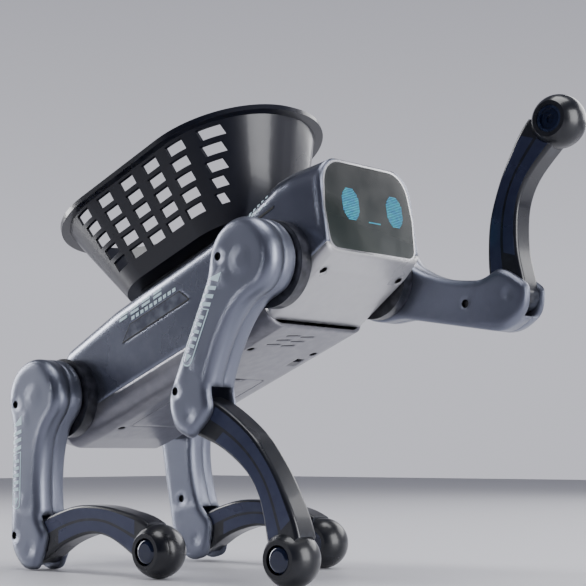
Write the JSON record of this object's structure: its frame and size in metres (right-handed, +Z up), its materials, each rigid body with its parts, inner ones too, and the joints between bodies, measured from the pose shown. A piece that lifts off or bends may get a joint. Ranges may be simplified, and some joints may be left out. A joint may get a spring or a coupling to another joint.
{
  "type": "robot dog toy",
  "caption": "Four-legged robot dog toy with ball feet, a screen face and a slotted lift-off basket on its back, sitting back with one front paw raised.",
  "frame": {"origin": "on the floor, under the middle of the toy's bounding box", "axes": "+X forwards, along the toy's longest extent; +Y to the dog's left; +Z up"},
  "size_m": [0.325, 0.1424, 0.2681],
  "materials": {
    "shell": "satin metallic silver with a blue tint",
    "chin": "satin pale silver",
    "belly": "matt warm grey",
    "accent": "satin slate grey",
    "screen": "smoked glossy screen",
    "lamps": "lit dot-matrix lamps",
    "board": "green circuit board",
    "battery": "blue wrapped cells",
    "black": "satin black",
    "basket": "satin black with a navy tint",
    "shin": "satin black",
    "inlay": "satin slate blue",
    "tyre": "smooth black rubber",
    "cap": "glossy navy",
    "steel": "turned steel",
    "screw": "blackened steel",
    "servo": "matt black case"
  },
  "bodies": {
    "body": {"back_casing": "shell", "belly_casing": "belly", "head_casing": "shell", "chin_casing": "chin", "screen_lens": "screen", "eye_lamps": "lamps", "display_board": "board", "main_board": "board", "battery_pack": "battery", "battery_door": "belly", "speaker": "black", "charge_port": "black", "side_accents": "accent", "hip_servos": "servo", "hip_drums": "black", "body_screws": "screw", "basket_saddle": "black"},
    "power_switch": {"power_switch": "black"},
    "basket": {"basket": "basket"},
    "rear_right_thigh": {"rear_right_thigh_outer": "shell", "rear_right_thigh_inner": "shell", "rear_right_thigh_screws": "screw", "rear_right_hip_shaft": "steel", "rear_right_knee_servo": "servo", "rear_right_knee_pin": "steel"},
    "rear_right_shin": {"rear_right_shin": "shin", "rear_right_shin_inlays": "inlay", "rear_right_foot_ball": "tyre", "rear_right_foot_caps": "cap"},
    "rear_left_thigh": {"rear_left_thigh_outer": "shell", "rear_left_thigh_inner": "shell", "rear_left_thigh_screws": "screw", "rear_left_hip_shaft": "steel", "rear_left_knee_servo": "servo", "rear_left_knee_pin": "steel"},
    "rear_left_shin": {"rear_left_shin": "shin", "rear_left_shin_inlays": "inlay", "rear_left_foot_ball": "tyre", "rear_left_foot_caps": "cap"},
    "front_right_thigh": {"front_right_thigh_outer": "shell", "front_right_thigh_inner": "shell", "front_right_thigh_screws": "screw", "front_right_hip_shaft": "steel", "front_right_knee_servo": "servo", "front_right_knee_pin": "steel"},
    "front_right_shin": {"front_right_shin": "shin", "front_right_shin_inlays": "inlay", "front_right_foot_ball": "tyre", "front_right_foot_caps": "cap"},
    "front_left_thigh": {"front_left_thigh_outer": "shell", "front_left_thigh_inner": "shell", "front_left_thigh_screws": "screw", "front_left_hip_shaft": "steel", "front_left_knee_servo": "servo", "front_left_knee_pin": "steel"},
    "front_left_shin": {"front_left_shin": "shin", "front_left_shin_inlays": "inlay", "front_left_foot_ball": "tyre", "front_left_foot_caps": "cap"}
  },
  "joints": [
    {"name": "rear_right_hip", "type": "hinge", "parent": "body", "child": "rear_right_thigh", "pos_m": [-0.13714, -0.06, 0.102], "axis": [0, -1, 0], "range_deg": [-38, 22]},
    {"name": "rear_right_knee", "type": "hinge", "parent": "rear_right_thigh", "child": "rear_right_shin", "pos_m": [-0.13714, -0.06, 0.013], "axis": [0, -1, 0], "range_deg": [-56.17, 5.83]},
    {"name": "rear_left_hip", "type": "hinge", "parent": "body", "child": "rear_left_thigh", "pos_m": [-0.13714, 0.06, 0.102], "axis": [0, -1, 0], "range_deg": [-49.5, 10.5]},
    {"name": "rear_left_knee", "type": "hinge", "parent": "rear_left_thigh", "child": "rear_left_shin", "pos_m": [-0.1194, 0.06, 0.01479], "axis": [0, -1, 0], "range_deg": [-43.62, 18.38]},
    {"name": "front_right_hip", "type": "hinge", "parent": "body", "child": "front_right_thigh", "pos_m": [0.03161, -0.06, 0.17018], "axis": [0, -1, 0], "range_deg": [-13.3, 121.7]},
    {"name": "front_right_knee", "type": "hinge", "parent": "front_right_thigh", "child": "front_right_shin", "pos_m": [-0.00558, -0.06, 0.08932], "axis": [0, -1, 0], "range_deg": [-30.38, 31.62]},
    {"name": "front_left_hip", "type": "hinge", "parent": "body", "child": "front_left_thigh", "pos_m": [0.03161, 0.06, 0.17018], "axis": [0, -1, 0], "range_deg": [-118.5, 16.5]},
    {"name": "front_left_knee", "type": "hinge", "parent": "front_left_thigh", "child": "front_left_shin", "pos_m": [0.11939, 0.06, 0.15549], "axis": [0, -1, 0], "range_deg": [-47.8, 14.2]},
    {"name": "basket_lift", "type": "slide", "parent": "body", "child": "basket", "axis": [-0.3746, 0, 0.9272], "range_m": [0, 0.06]},
    {"name": "power_slide", "type": "slide", "parent": "body", "child": "power_switch", "axis": [0.9272, 0, 0.3746], "range_m": [0, 0.004]}
  ]
}
